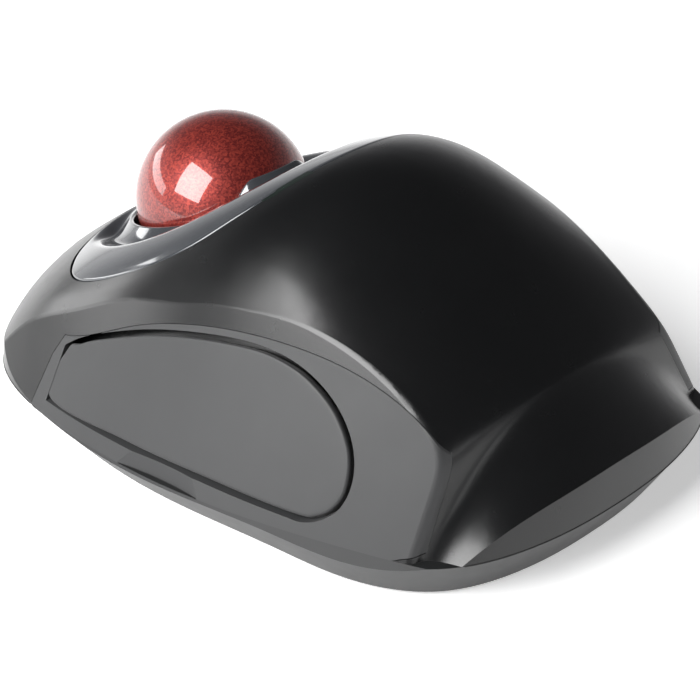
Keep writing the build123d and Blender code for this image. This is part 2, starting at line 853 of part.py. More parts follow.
# --- main board -------------------------------------------------------------------
with BuildPart() as main_board:
    add(block(-24 * SX, 24 * SX, BAY_Y1 + BAY_T + 0.6, 45 * SY, BOARD_Z, BOARD_Z + BOARD_T))
    add(tube(Plane(origin=(0, BALL_Y, 0)), EJECT_D / 2 + 1.5, 0, 20), mode=Mode.SUBTRACT)
    for deg in LEG_ANGLES:
        lx = 12.0 * math.cos(math.radians(deg))
        ly = BALL_Y + 12.0 * math.sin(math.radians(deg))
        add(tube(Plane(origin=(lx, ly, 0)), 2.3, 0, 20), mode=Mode.SUBTRACT)
main_board.part.label = "main_board"
BOARD_TOP = BOARD_Z + BOARD_T
with BuildPart() as control_chip:
    add(block(-18, -11, 14 * SY, 14 * SY + 7, BOARD_TOP, BOARD_TOP + 1.0))
control_chip.part.label = "control_chip"
with BuildPart() as radio_can:
    add(block(9, 20, 13.5 * SY, 13.5 * SY + 9, BOARD_TOP, BOARD_TOP + 1.8))
radio_can.part.label = "radio_can"
with BuildPart() as antenna:
    add(block(16.5, 23, 38 * SY, 38 * SY + 2.2, BOARD_TOP, BOARD_TOP + 1.2))
antenna.part.label = "antenna"

# --- cells, contacts, door ----------------------------------------------------------


def make_cell(x):
    y0 = CELL_Y * SY - CELL_L / 2
    with BuildPart() as p:
        with BuildSketch(Plane(origin=(x, y0 + 1.0, CELL_Z), x_dir=(1, 0, 0), z_dir=(0, 1, 0))):
            Circle(CELL_D / 2)
        extrude(amount=CELL_L - 1.0)
        fillet(p.edges(), radius=0.7)
        with BuildSketch(Plane(origin=(x, y0, CELL_Z), x_dir=(1, 0, 0), z_dir=(0, 1, 0))):
            Circle(2.7)
        extrude(amount=1.5)
    return p.part


with BuildPart() as left_cell:
    add(make_cell(-CELL_X))
left_cell.part.label = "left_cell"
with BuildPart() as right_cell:
    add(make_cell(CELL_X))
right_cell.part.label = "right_cell"
with BuildPart() as cell_springs:
    for cx in (-CELL_X, CELL_X):
        y1 = BAY_Y1
        plate = Plane(origin=(cx, y1 - 0.4, CELL_Z), x_dir=(1, 0, 0), z_dir=(0, 1, 0))
        with BuildSketch(plate):
            Rectangle(9, 9)
        extrude(amount=0.36)
        with BuildPart(mode=Mode.PRIVATE) as coil:
            with BuildLine():
                wire = Helix(
                    pitch=0.95,
                    height=SPRING_L - 0.75,
                    radius=3.2,
                    center=(cx, y1 - 0.35, CELL_Z),
                    direction=(0, -1, 0),
                )
            with BuildSketch(Plane(origin=wire @ 0, z_dir=wire % 0)):
                Circle(0.3)
            sweep(path=wire)
        add(coil.part)
cell_springs.part.label = "cell_springs"
with BuildPart() as cell_contacts:
    for cx in (-CELL_X, CELL_X):
        add(block(cx - 4.5, cx + 4.5, BAY_Y0 + 0.04, BAY_Y0 + 0.42, CELL_Z - 4.5, CELL_Z + 4.5))
cell_contacts.part.label = "cell_contacts"
with BuildPart() as battery_door:
    dx = BAY_X + 1.6 - DOOR_GAP
    dy0 = BAY_Y0 - 1.6 + DOOR_GAP
    dy1 = BAY_Y1 + 1.6 - DOOR_GAP
    add(block(-dx, dx, dy0, dy1, FOOT, FOOT + DOOR_T - 0.05))
    fillet(battery_door.edges().filter_by(Axis.Z), radius=1.6)
    # finger grip
    for k in range(4):
        gy = dy1 - 4.0 - 2.0 * k
        add(block(-6 + k, 6 - k, gy - 0.45, gy + 0.45, 0, FOOT + 0.45), mode=Mode.SUBTRACT)
    # pressure pads towards the cells
    for cx in (-CELL_X, CELL_X):
        add(block(cx - 3, cx + 3, CELL_Y * SY - 12, CELL_Y * SY + 12, FOOT + DOOR_T - 0.3, FLOOR_Z + 0.35))
battery_door.part.label = "battery_door"

# --- receiver, power switch, feet, screws -------------------------------------------
with BuildPart() as receiver_cap:
    ry = RX_Y * SY
    add(block(RX_X - RX_T / 2, RX_X + RX_T / 2, ry - RX_W / 2, ry + RX_W / 2, FOOT, FOOT + RX_CAP))
    fillet(receiver_cap.edges().filter_by(Axis.Z), radius=1.2)
    add(block(RX_X - 4, RX_X + 4, ry - 0.5, ry + 0.5, 0, FOOT + 0.7), mode=Mode.SUBTRACT)
receiver_cap.part.label = "receiver_cap"
with BuildPart() as receiver_plug:
    ry = RX_Y * SY
    z0 = FOOT + RX_CAP
    add(block(RX_X - PLUG_T / 2, RX_X + PLUG_T / 2, ry - PLUG_W / 2, ry + PLUG_W / 2, z0, z0 + PLUG_L))
    add(
        block(
            RX_X - PLUG_T / 2 + 0.3,
            RX_X + PLUG_T / 2 - 0.3,
            ry - PLUG_W / 2 + 0.3,
            ry + PLUG_W / 2 - 0.3,
            z0 + 1.0,
            z0 + PLUG_L + 1,
        ),
        mode=Mode.SUBTRACT,
    )
    add(block(RX_X - PLUG_T / 2 + 0.3, RX_X - 0.1, ry - 5.5, ry + 5.5, z0 + 0.5, z0 + PLUG_L - 0.4))
receiver_plug.part.label = "receiver_plug"
with BuildPart() as power_knob:
    ky = KNOB_Y * SY
    add(block(SLIDE_X - 1.75, SLIDE_X + 1.75, ky - 1.8, ky + 1.8, FOOT + 0.15, FLOOR_Z))
    add(block(SLIDE_X - 0.8, SLIDE_X + 0.8, ky - 0.9, ky + 0.9, FLOOR_Z - 0.5, FLOOR_Z + 1.5))
    for k in (-1, 0, 1):
        add(block(SLIDE_X - 2, SLIDE_X + 2, ky + k - 0.2, ky + k + 0.2, 0, FOOT + 0.4), mode=Mode.SUBTRACT)
power_knob.part.label = "power_knob"
with BuildPart() as power_switch:
    ky = KNOB_Y * SY
    mid = ky + KNOB_TRAVEL / 2
    add(block(SLIDE_X - 3.4, SLIDE_X + 3.4, mid - 5, mid + 5, FLOOR_Z + 0.05, FLOOR_Z + 3.4))
    add(
        block(SLIDE_X - 1.1, SLIDE_X + 1.1, ky - 1.3, ky + KNOB_TRAVEL + 1.3, FLOOR_Z - 1, FLOOR_Z + 1.9),
        mode=Mode.SUBTRACT,
    )
power_switch.part.label = "power_switch"
with BuildPart() as rubber_feet:
    for fx, fy in [(-23.5, -41.5), (23.5, -41.5), (-19.5, 44.0), (19.5, 44.0)]:
        with BuildSketch(Plane(origin=(fx * SX, fy * SY, 0))):
            Circle(4.4)
        extrude(amount=FOOT)
rubber_feet.part.label = "rubber_feet"
with BuildPart() as case_screws:
    for px, py in SCREW_SITES:
        add(tube(Plane(origin=(px, py, FOOT + 0.35)), 1.95, 0, 1.2))
        add(tube(Plane(origin=(px, py, FOOT + 1.5)), 0.88, 0, 11.0))
        add(block(px - 1.1, px + 1.1, py - 0.2, py + 0.2, 0, FOOT + 0.85), mode=Mode.SUBTRACT)
        add(block(px - 0.2, px + 0.2, py - 1.1, py + 1.1, 0, FOOT + 0.85), mode=Mode.SUBTRACT)
case_screws.part.label = "case_screws"

# --- write one file per piece ---------------------------------------------------------
pieces = [
    base_shell,
    top_shell,
    bezel,
    left_panel,
    right_panel,
    left_button,
    right_button,
    left_hinge_pin,
    right_hinge_pin,
    left_switch,
    right_switch,
    left_plunger,
    right_plunger,
    indicator_window,
    indicator_led,
    ball_core,
    ball_pearl,
    ball_coat,
    ball_cup,
    ball_bearings,
    sensor_lens,
    sensor_chip,
    sensor_board,
    touch_ring,
    main_board,
    control_chip,
    radio_can,
    antenna,
    left_cell,
    right_cell,
    cell_springs,
    cell_contacts,
    battery_door,
    receiver_cap,
    receiver_plug,
    power_knob,
    power_switch,
    rubber_feet,
    case_screws,
]
os.makedirs("parts", exist_ok=True)
for piece in pieces:
    name = piece.part.label
    export_step(piece.part, "parts/" + name + ".step")
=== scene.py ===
import math

import bmesh
import bpy
import numpy as np
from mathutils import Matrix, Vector
from mathutils.bvhtree import BVHTree


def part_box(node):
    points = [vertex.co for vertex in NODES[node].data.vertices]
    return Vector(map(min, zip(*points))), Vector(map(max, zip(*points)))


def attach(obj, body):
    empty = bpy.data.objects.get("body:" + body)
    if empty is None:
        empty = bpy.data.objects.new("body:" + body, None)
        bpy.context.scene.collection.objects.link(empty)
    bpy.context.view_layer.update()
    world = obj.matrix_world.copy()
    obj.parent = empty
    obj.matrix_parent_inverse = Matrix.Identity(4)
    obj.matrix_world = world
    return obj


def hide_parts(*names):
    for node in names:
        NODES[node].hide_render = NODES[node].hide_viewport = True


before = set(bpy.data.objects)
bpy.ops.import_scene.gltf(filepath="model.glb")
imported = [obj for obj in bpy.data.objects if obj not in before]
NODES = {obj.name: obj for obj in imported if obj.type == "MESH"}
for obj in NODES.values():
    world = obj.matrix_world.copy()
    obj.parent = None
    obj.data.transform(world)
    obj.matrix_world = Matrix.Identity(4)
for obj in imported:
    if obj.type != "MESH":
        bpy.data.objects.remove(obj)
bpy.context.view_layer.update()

# --- shell: top shell ---------------------------------------------------------
# The domed upper half of the case, injection moulded in black ABS and polished
# semi-gloss. It drops over the base and is held by four screws from below.
MM = 0.001
NOISE_ROUGHNESS = 0.55
# nearly all of the noise lies between these two values
NOISE_FLOOR, NOISE_CEILING = 0.3, 0.7
MOTTLE_SCALE = 60
WEAR_SCALE = 260
GRAIN_STRENGTH = 0.35


def new_material(name):
    made = bpy.data.materials.new(name)
    made.use_nodes = True
    tree = made.node_tree
    return made, tree, tree.nodes["Principled BSDF"]


def object_noise(tree, scale, detail):
    # noise laid out in the object's own space, in metres
    place = tree.nodes.new("ShaderNodeTexCoord")
    noise = tree.nodes.new("ShaderNodeTexNoise")
    noise.inputs["Scale"].default_value = scale
    noise.inputs["Detail"].default_value = detail
    noise.inputs["Roughness"].default_value = NOISE_ROUGHNESS
    tree.links.new(place.outputs["Object"], noise.inputs["Vector"])
    return noise


def spread(tree, noise, low, high):
    # noise stretched to a range of roughness or height
    stretch = tree.nodes.new("ShaderNodeMapRange")
    stretch.inputs["From Min"].default_value = NOISE_FLOOR
    stretch.inputs["From Max"].default_value = NOISE_CEILING
    stretch.inputs["To Min"].default_value = low
    stretch.inputs["To Max"].default_value = high
    tree.links.new(noise.outputs["Fac"], stretch.inputs["Value"])
    return stretch.outputs["Result"]


def two_tone(tree, noise, dark, light):
    # noise turned into a blend of two colours
    ramp = tree.nodes.new("ShaderNodeValToRGB")
    ramp.color_ramp.elements[0].position = NOISE_FLOOR
    ramp.color_ramp.elements[0].color = (*dark, 1)
    ramp.color_ramp.elements[1].position = NOISE_CEILING
    ramp.color_ramp.elements[1].color = (*light, 1)
    tree.links.new(noise.outputs["Fac"], ramp.inputs["Fac"])
    return ramp.outputs["Color"]


def grain(tree, shader, scale, depth, strength):
    # fine relief: moulding grain, spark erosion or orange peel
    noise = object_noise(tree, scale, detail=3)
    bump = tree.nodes.new("ShaderNodeBump")
    bump.inputs["Distance"].default_value = depth
    bump.inputs["Strength"].default_value = strength
    tree.links.new(noise.outputs["Fac"], bump.inputs["Height"])
    tree.links.new(bump.outputs["Normal"], shader.inputs["Normal"])


def moulded_plastic(
    name, dark, light, rough, grain_scale, grain_depth, coat=0.0, coat_rough=0.1
):
    made, tree, shader = new_material(name)
    mottle = object_noise(tree, MOTTLE_SCALE, detail=2)
    tree.links.new(two_tone(tree, mottle, dark, light), shader.inputs["Base Color"])
    wear = object_noise(tree, WEAR_SCALE, detail=5)
    tree.links.new(spread(tree, wear, rough[0], rough[1]), shader.inputs["Roughness"])
    shader.inputs["Coat Weight"].default_value = coat
    shader.inputs["Coat Roughness"].default_value = coat_rough
    grain(tree, shader, grain_scale, grain_depth, GRAIN_STRENGTH)
    return made


def paint_node(node, made):
    # a CAD node keeps its shape and takes a finish
    piece = NODES[node]
    piece.data.materials.clear()
    piece.data.materials.append(made)
    for face in piece.data.polygons:
        face.material_index = 0


dome_black = moulded_plastic(
    "dome_black",
    dark=(0.0045, 0.0047, 0.005),
    light=(0.0055, 0.0057, 0.006),
    rough=(0.255, 0.275),
    grain_scale=9000,
    grain_depth=1.5e-6,
)
paint_node("top_shell", dome_black)

# --- shell: base --------------------------------------------------------------
# The lower tray of the case, moulded in charcoal plastic with a fine spark
# eroded grain. The cell door is the same plastic and clips up into it.
skirt_charcoal = moulded_plastic(
    "skirt_charcoal",
    dark=(0.011, 0.0115, 0.012),
    light=(0.013, 0.0135, 0.014),
    rough=(0.44, 0.48),
    grain_scale=6500,
    grain_depth=5e-6,
)
for node in ("base_shell", "battery_door"):
    paint_node(node, skirt_charcoal)

# --- ball ---------------------------------------------------------------------
# A 31 mm cast resin ball: deep red pearl paint with metal flake under a thick
# polished clear lacquer. It rests loose on three small bearings.
ball_low, ball_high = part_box("ball_coat")
BALL_CENTRE = Vector([(a + b) / 2 for a, b in zip(ball_low, ball_high)])
BALL_R = (ball_high[0] - ball_low[0]) / 2
WELD = 1e-7
FLAKE_SCALE = 3600
CLOUD_SCALE = 60


def ball_mesh(name, radius, rings, sides):
    # a smooth ball with its poles on the Y axis
    verts, faces = [], []
    for i in range(rings + 1):
        lat = math.pi * i / rings - math.pi / 2
        for j in range(sides):
            lon = 2 * math.pi * j / sides
            way = (math.cos(lat) * math.cos(lon), math.sin(lat), math.cos(lat) * math.sin(lon))
            verts.append(BALL_CENTRE + radius * Vector(way))
    for i in range(rings):
        for j in range(sides):
            k = (j + 1) % sides
            below, above = i * sides, (i + 1) * sides
            faces.append((below + j, above + j, above + k, below + k))
    mesh = bpy.data.meshes.new(name)
    mesh.from_pydata([v[:] for v in verts], [], faces)
    return finish_mesh(name, mesh)


def finish_mesh(name, mesh):
    # welded, outward facing and smooth
    work = bmesh.new()
    work.from_mesh(mesh)
    bmesh.ops.remove_doubles(work, verts=work.verts, dist=WELD)
    bmesh.ops.dissolve_degenerate(work, dist=WELD, edges=work.edges)
    bmesh.ops.recalc_face_normals(work, faces=work.faces)
    work.to_mesh(mesh)
    work.free()
    for face in mesh.polygons:
        face.use_smooth = True
    piece = bpy.data.objects.new(name, mesh)
    bpy.context.scene.collection.objects.link(piece)
    return piece


def pearl_red():
    # red pearl paint full of metal flake, under a clear coat
    made, tree, shader = new_material("pearl_red")
    place = tree.nodes.new("ShaderNodeTexCoord")
    flake = tree.nodes.new("ShaderNodeTexVoronoi")
    flake.inputs["Scale"].default_value = FLAKE_SCALE
    tree.links.new(place.outputs["Object"], flake.inputs["Vector"])
    shade = tree.nodes.new("ShaderNodeValToRGB")
    shade.color_ramp.elements[0].position = 0.15
    shade.color_ramp.elements[0].color = (0.16, 0.012, 0.012, 1)
    shade.color_ramp.elements[1].position = 0.95
    shade.color_ramp.elements[1].color = (0.40, 0.05, 0.034, 1)
    split = tree.nodes.new("ShaderNodeSeparateColor")
    tree.links.new(flake.outputs["Color"], split.inputs["Color"])
    tree.links.new(split.outputs["Red"], shade.inputs["Fac"])
    cloud = object_noise(tree, CLOUD_SCALE, detail=3)
    tint = tree.nodes.new("ShaderNodeMix")
    tint.data_type = "RGBA"
    tint.blend_type = "MULTIPLY"
    tint.inputs["Factor"].default_value = 0.6
    tree.links.new(shade.outputs["Color"], tint.inputs["A"])
    cloudy = two_tone(tree, cloud, dark=(0.8, 0.78, 0.78), light=(1.0, 1.0, 1.0))
    tree.links.new(cloudy, tint.inputs["B"])
    tree.links.new(tint.outputs["Result"], shader.inputs["Base Color"])
    tree.links.new(spread(tree, cloud, 0.38, 0.5), shader.inputs["Roughness"])
    shader.inputs["Metallic"].default_value = 0.55
    shader.inputs["Coat Weight"].default_value = 1.0
    shader.inputs["Coat Roughness"].default_value = 0.03
    shader.inputs["Coat IOR"].default_value = 1.55
    # each flake lies at its own slight angle under the lacquer
    tilt = tree.nodes.new("ShaderNodeBump")
    tilt.inputs["Distance"].default_value = 6e-5
    tilt.inputs["Strength"].default_value = 0.22
    tree.links.new(split.outputs["Green"], tilt.inputs["Height"])
    tree.links.new(tilt.outputs["Normal"], shader.inputs["Normal"])
    return made


trackball = ball_mesh("trackball", BALL_R, rings=96, sides=160)
trackball.data.materials.append(pearl_red())
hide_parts("ball_coat", "ball_pearl", "ball_core")
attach(trackball, "ball_outer")

# --- bezel --------------------------------------------------------------------
# The eye-shaped surround, moulded in glossy smoked plastic. Its rim flares up
# round the back of the ball and it clips into a ledge of the top shell.
RING_TILT = math.radians(20)
# the rest of this section's lengths are in millimetres
LIP_R = 17.0 * MM
BORE_R = 16.25 * MM
EYE_GAP = 0.35
EDGE_POINTS = 288
SURFACE_ROWS = 40
LIP_RISE, BACK_LIP_RISE = 0.55, 4.9
LIP_FLARE, BACK_LIP_FLARE = 4.0, 3.4
DISH_DEPTH, DISH_RISE, DISH_FROM = 1.5, 0.075, 19.5
EDGE_BLEND = 3.5
EDGE_INSET = 0.25
WALL = 1.5
# half outline of the eye, rear middle to front middle
EYE = [
    (0.0, 1.5),
    (9.5, 2.4),
    (18.0, 4.9),
    (25.6, 9.8),
    (30.0, 16.0),
    (32.4, 22.6),
    (33.4, 28.6),
    (33.0, 34.2),
    (30.2, 39.4),
    (23.5, 45.0),
    (12.0, 49.4),
    (0.0, 50.6),
]
# crest and shoulder heights of the case along its length
CROWN = [
    (-8.5, 47.6, 31.0),
    (-0.5, 48.0, 32.0),
    (7.5, 45.4, 32.0),
    (15.5, 41.2, 30.8),
    (24.5, 35.8, 27.6),
    (33.5, 30.6, 23.6),
    (41.5, 26.3, 19.2),
    (48.5, 22.4, 13.9),
    (55.5, 17.4, 7.5),
]
SHOULDER_X = 32.8
CROWN_DEGREE = 6
CREST_CURVE = np.polyfit([c[0] for c in CROWN], [c[1] for c in CROWN], CROWN_DEGREE)
SHOULDER_CURVE = np.polyfit([c[0] for c in CROWN], [c[2] for c in CROWN], CROWN_DEGREE)


def crown_height(x, y):
    # height of the case surface: crest less a share of the drop to the shoulder
    across = np.abs(x) / SHOULDER_X
    crest = np.polyval(CREST_CURVE, y)
    drop = crest - np.polyval(SHOULDER_CURVE, y)
    return crest - drop * (0.33 * across**4 + 0.67 * across**2)


def closed_curve(points, count):
    # evenly spaced points on a smooth closed curve through the given ones
    pts = np.array(points, float)
    n = len(pts)
    dense = []
    for i in range(n):
        p0, p1, p2, p3 = pts[i - 1], pts[i], pts[(i + 1) % n], pts[(i + 2) % n]
        for t in np.linspace(0, 1, 24, endpoint=False):
            bend = (2 * p0 - 5 * p1 + 4 * p2 - p3) * t**2
            twist = (3 * p1 - p0 - 3 * p2 + p3) * t**3
            dense.append(0.5 * (2 * p1 + (p2 - p0) * t + bend + twist))
    dense = np.array(dense + [dense[0]])
    along = np.concatenate([[0], np.cumsum(np.hypot(*np.diff(dense, axis=0).T))])
    at = np.linspace(0, along[-1], count, endpoint=False)
    return np.stack([np.interp(at, along, dense[:, k]) for k in (0, 1)], axis=1)


def inset_curve(curve, distance):
    # closed anticlockwise curve moved inwards
    step = np.roll(curve, -1, 0) - np.roll(curve, 1, 0)
    step /= np.hypot(step[:, 0], step[:, 1])[:, None]
    return curve + np.stack([-step[:, 1], step[:, 0]], axis=1) * distance


def ease(t):
    # 0 to 1 with a soft start and a soft end
    t = np.clip(t, 0, 1)
    return t * t * (3 - 2 * t)


def loops_to_mesh(name, loops, closed_section=False, cap=False):
    # rows of points in millimetres, all of one length, skinned into a mesh
    count = len(loops[0])
    verts = np.concatenate(loops)
    faces = []
    rows = len(loops)
    last = rows if closed_section else rows - 1
    for i in range(last):
        a, b = i * count, ((i + 1) % rows) * count
        for j in range(count):
            k = (j + 1) % count
            faces.append((a + j, a + k, b + k, b + j))
    if cap:
        faces.append(tuple(range(count)))
        faces.append(tuple((rows - 1) * count + j for j in range(count)))
    mesh = bpy.data.meshes.new(name)
    mesh.from_pydata((verts * MM).tolist(), [], faces)
    return finish_mesh(name, mesh)


def eye_bezel():
    # rows of points round the ball's axis, from the bore out to the eye's edge
    centre = np.array(BALL_CENTRE) / MM
    up = np.array((0, math.sin(RING_TILT), math.cos(RING_TILT)))
    ahead = np.array((0, math.cos(RING_TILT), -math.sin(RING_TILT)))
    side = np.array((1.0, 0, 0))
    full = EYE + [(-x, y) for x, y in reversed(EYE[1:-1])]
    edge = inset_curve(closed_curve(full, EDGE_POINTS), EYE_GAP)
    rim = np.stack([edge[:, 0], edge[:, 1], crown_height(edge[:, 0], edge[:, 1])], axis=1)
    away = rim - centre
    a, b = away @ side, away @ ahead
    reach, angle = np.hypot(a, b), np.arctan2(b, a)

    def row(r, h):
        # points at radius r and height h over the ring's plane
        across = np.outer(r * np.cos(angle), side)
        along = np.outer(r * np.sin(angle), ahead)
        return centre + across + along + np.outer(h, up)

    def crown_over(r):
        # height of the case surface above the ring's plane at radius r
        h = np.zeros_like(r)
        for _ in range(12):
            p = row(r, h)
            h = h + 0.7 * (crown_height(p[:, 0], p[:, 1]) - p[:, 2])
        return h

    # the rim stands highest across the back of the ball
    from_back = np.degrees(np.abs((angle + math.pi / 2 + math.pi) % (2 * math.pi) - math.pi))
    raised = 1 - ease((from_back - 16) / 24)
    lip_top = LIP_RISE + BACK_LIP_RISE * raised
    flare = LIP_FLARE + BACK_LIP_FLARE * raised

    def surface(r):
        # a dish round the ball that runs out into the case's crown and up the lip
        dish = -DISH_DEPTH + DISH_RISE * np.maximum(r - DISH_FROM, 0) ** 2
        crown = crown_over(r)
        gap = np.clip(0.5 + (crown - dish) / 3.2, 0, 1)
        base = crown + (dish - crown) * gap - 1.6 * gap * (1 - gap)
        near_edge = ease((r - (reach - EDGE_BLEND)) / EDGE_BLEND)
        base = base + (crown - base) * near_edge
        fall = np.clip((r - LIP_R / MM) / flare, 0, 1)
        return base + (lip_top - base) * (1 - fall) ** 2.2 * (1 + 0.6 * fall)

    bore = np.full_like(reach, BORE_R / MM)
    lip = np.full_like(reach, LIP_R / MM)
    # the bore's wall and the rounded top of the lip
    loops = [
        row(bore, np.full_like(reach, -1.3)),
        row(bore, lip_top - 0.5),
        row(bore + 0.12, lip_top - 0.15),
        row(bore + 0.38, lip_top),
    ]
    for i in range(SURFACE_ROWS + 1):
        share = (i / SURFACE_ROWS) ** 1.35
        r = lip + (reach - EDGE_INSET - lip) * share
        loops.append(row(r, surface(r)))
    # the rounded outer edge and its wall, straight down
    loops.append(row(reach - 0.08, surface(reach - EDGE_INSET) - 0.08))
    loops.append(row(reach, surface(reach - EDGE_INSET) - 0.3))
    loops.append(loops[-1] - np.array((0, 0, 1.0)))
    # the underside, back in to the bore
    for i in range(9):
        r = reach - 0.6 + (bore + 1.0 - (reach - 0.6)) * i / 8
        top = surface(np.maximum(r, LIP_R / MM))
        loops.append(row(r, top - WALL - 0.6 * raised * (i > 6)))
    return loops_to_mesh("eye_bezel", loops, closed_section=True)


bezel_smoke = moulded_plastic(
    "bezel_smoke",
    dark=(0.050, 0.054, 0.060),
    light=(0.062, 0.066, 0.073),
    rough=(0.10, 0.17),
    grain_scale=3000,
    grain_depth=2e-6,
    coat=1.0,
    coat_rough=0.04,
)
bezel_smoke.node_tree.nodes["Principled BSDF"].inputs["Metallic"].default_value = 0.25
bezel = eye_bezel()
bezel.data.materials.append(bezel_smoke)
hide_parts("bezel")
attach(bezel, "housing")

# --- indicator ----------------------------------------------------------------
# A slim dark green light guide set in the gap behind the bezel, over a small
# light on the inside. It is moulded in tinted clear plastic.
CLEAR_IOR = 1.49
SWIRL_SCALE = 400


def tinted_clear(name, colour, rough):
    made, tree, shader = new_material(name)
    swirl = object_noise(tree, SWIRL_SCALE, detail=3)
    deep = tuple(0.6 * c for c in colour)
    tree.links.new(two_tone(tree, swirl, deep, colour), shader.inputs["Base Color"])
    tree.links.new(spread(tree, swirl, rough, rough + 0.06), shader.inputs["Roughness"])
    shader.inputs["Transmission Weight"].default_value = 0.6
    shader.inputs["IOR"].default_value = CLEAR_IOR
    return made


guide_green = tinted_clear("guide_green", colour=(0.004, 0.02, 0.011), rough=0.08)
paint_node("indicator_window", guide_green)
lens_clear = tinted_clear("lens_clear", colour=(0.8, 0.85, 0.9), rough=0.03)
paint_node("sensor_lens", lens_clear)

# --- side panels and buttons --------------------------------------------------
# A grip panel on each side, moulded over with dark soft-touch rubber paint. The
# long button in its middle has a crisp rounded edge and pivots on a pin at its rear.
# the button's outline seen from the side, y and z in millimetres
BUTTON = [
    (26.2, 17.0), (23.6, 18.8), (19.4, 21.1), (9.2, 25.5), (-0.5, 28.3), (-9.7, 29.8),
    (-15.6, 29.7), (-21.0, 28.4), (-26.6, 25.4), (-30.8, 21.0), (-32.4, 16.4), (-31.8, 13.4),
    (-29.6, 11.5), (-26.0, 10.9), (-9.4, 11.1), (7.4, 10.5), (26.5, 9.4),
]
BUTTON_POINTS = 260
BUTTON_LEAN = math.radians(29.7)
BUTTON_PLATE = 1.5
# the rolled edge: its radius, where it starts and how far the face lies in
ROLL_R, ROLL_FOOT, FACE_IN = 0.34, 0.4, 0.06
ROLL_STEPS = 6


def soft_touch():
    # rubbery paint with a faint sheen
    made = moulded_plastic(
        "soft_touch_grey",
        dark=(0.020, 0.0205, 0.0215),
        light=(0.023, 0.0235, 0.0245),
        rough=(0.48, 0.52),
        grain_scale=11000,
        grain_depth=3e-6,
    )
    shader = made.node_tree.nodes["Principled BSDF"]
    shader.inputs["Sheen Weight"].default_value = 0.12
    shader.inputs["Sheen Roughness"].default_value = 0.5
    return made


soft_grey = soft_touch()
for node in ("left_panel", "right_panel"):
    paint_node(node, soft_grey)


def side_surface(node, side, outline):
    # the outer face of a side piece, x as a smooth function of y and z
    tree = BVHTree.FromObject(NODES[node], bpy.context.evaluated_depsgraph_get())
    middle = outline.mean(axis=0)
    inwards = Vector((-side, 0, 0))
    found = []
    for share in (0.15, 0.35, 0.55, 0.75, 0.88):
        for y, z in middle + (outline[::6] - middle) * share:
            hit = tree.ray_cast(Vector((side * 0.08, y * MM, z * MM)), inwards)[0]
            if hit is not None:
                found.append((y, z, side * hit.x / MM))
    y, z, x = np.array(found).T

    def terms(y, z):
        # quartic along the piece, straight up it
        u = y / 30
        return np.stack([np.ones_like(u), u, u**2, u**3, u**4, z, z * u], axis=-1)

    fit = np.linalg.lstsq(terms(y, z), x, rcond=None)[0]
    return lambda y, z: terms(y, z) @ fit


def long_button(name, node, side):
    # a plate with a rolled edge, on the leaning side face
    outline = closed_curve(BUTTON, BUTTON_POINTS)
    y, z = outline.T
    twice_area = np.sum(y * np.roll(z, -1) - np.roll(y, -1) * z)
    if twice_area < 0:
        outline = outline[::-1]
    face = side_surface(node, side, outline)
    out = np.array((side * math.cos(BUTTON_LEAN), 0, math.sin(BUTTON_LEAN)))

    def loop(curve, depth):
        # the curve laid on the side face, then sunk by depth
        x = side * face(curve[:, 0], curve[:, 1])
        return np.stack([x, curve[:, 0], curve[:, 1]], axis=1) - out * depth

    middle = outline.mean(axis=0)
    loops = [
        loop(middle + (outline - middle) * share, BUTTON_PLATE) for share in (0.05, 0.5, 1.0)
    ]
    loops.append(loop(outline, ROLL_FOOT))
    for k in range(1, ROLL_STEPS + 1):
        turn = math.pi / 2 * k / ROLL_STEPS
        rolled = inset_curve(outline, ROLL_R * (1 - math.cos(turn)))
        loops.append(loop(rolled, ROLL_FOOT - ROLL_R * math.sin(turn)))
    last = inset_curve(outline, ROLL_R)
    middle = last.mean(axis=0)
    for share in (0.97, 0.9, 0.8, 0.65, 0.5, 0.35, 0.2, 0.05):
        loops.append(loop(middle + (last - middle) * share, FACE_IN))
    return loops_to_mesh(name, loops, cap=True)


for side_name, side in (("left", -1), ("right", 1)):
    node = side_name + "_button"
    button = long_button(side_name + "_press_button", node, side)
    button.data.materials.append(soft_grey)
    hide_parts(node)
    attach(button, node + "_body")

# --- parting line -------------------------------------------------------------
# The thin shadow line where the two halves of the case meet, as painted shade:
# a near-black strip laid along the outline where the two halves touch.
SEAM_Z = 7.5
SEAM_FALL = math.tan(math.radians(1.85))
SEAM_POINTS = 480
SEAM_SIDES = 8
SEAM_R = 0.17
SEAM_IN = 0.06
RAY_START = 90


# painted shadow: a near-black strip where the seam's shade falls
def painted_seam_shadow():
    # a thin tube that follows the case's outline, found with rays from outside
    shells = [
        BVHTree.FromObject(NODES[n], bpy.context.evaluated_depsgraph_get())
        for n in ("top_shell", "left_panel", "right_panel")
    ]
    line = []
    for j in range(SEAM_POINTS):
        a = 2 * math.pi * j / SEAM_POINTS
        way = Vector((-math.cos(a), -math.sin(a), 0))
        # the seam's height depends on the radius, so the second ray corrects the first
        best = 55.0
        for _ in range(2):
            z = SEAM_Z - SEAM_FALL * (math.sin(a) * best) + 0.25
            start = Vector((math.cos(a) * RAY_START * MM, math.sin(a) * RAY_START * MM, z * MM))
            hits = [t.ray_cast(start, way) for t in shells]
            near = [RAY_START - h[3] / MM for h in hits if h[0] is not None]
            best = max(near) if near else 50.0
        y = math.sin(a) * best
        line.append((math.cos(a) * best, y, SEAM_Z - SEAM_FALL * y))
    line = np.array(line)
    loops = []
    out = line * np.array((1, 1, 0))
    out /= np.linalg.norm(out, axis=1)[:, None]
    up = np.array((0, 0, 1.0))
    for k in range(SEAM_SIDES):
        turn = 2 * math.pi * k / SEAM_SIDES
        outwards = out * (SEAM_R * math.cos(turn) - SEAM_IN)
        loops.append(line + outwards + up * SEAM_R * math.sin(turn))
    return loops_to_mesh("painted_seam_shadow", loops, closed_section=True)


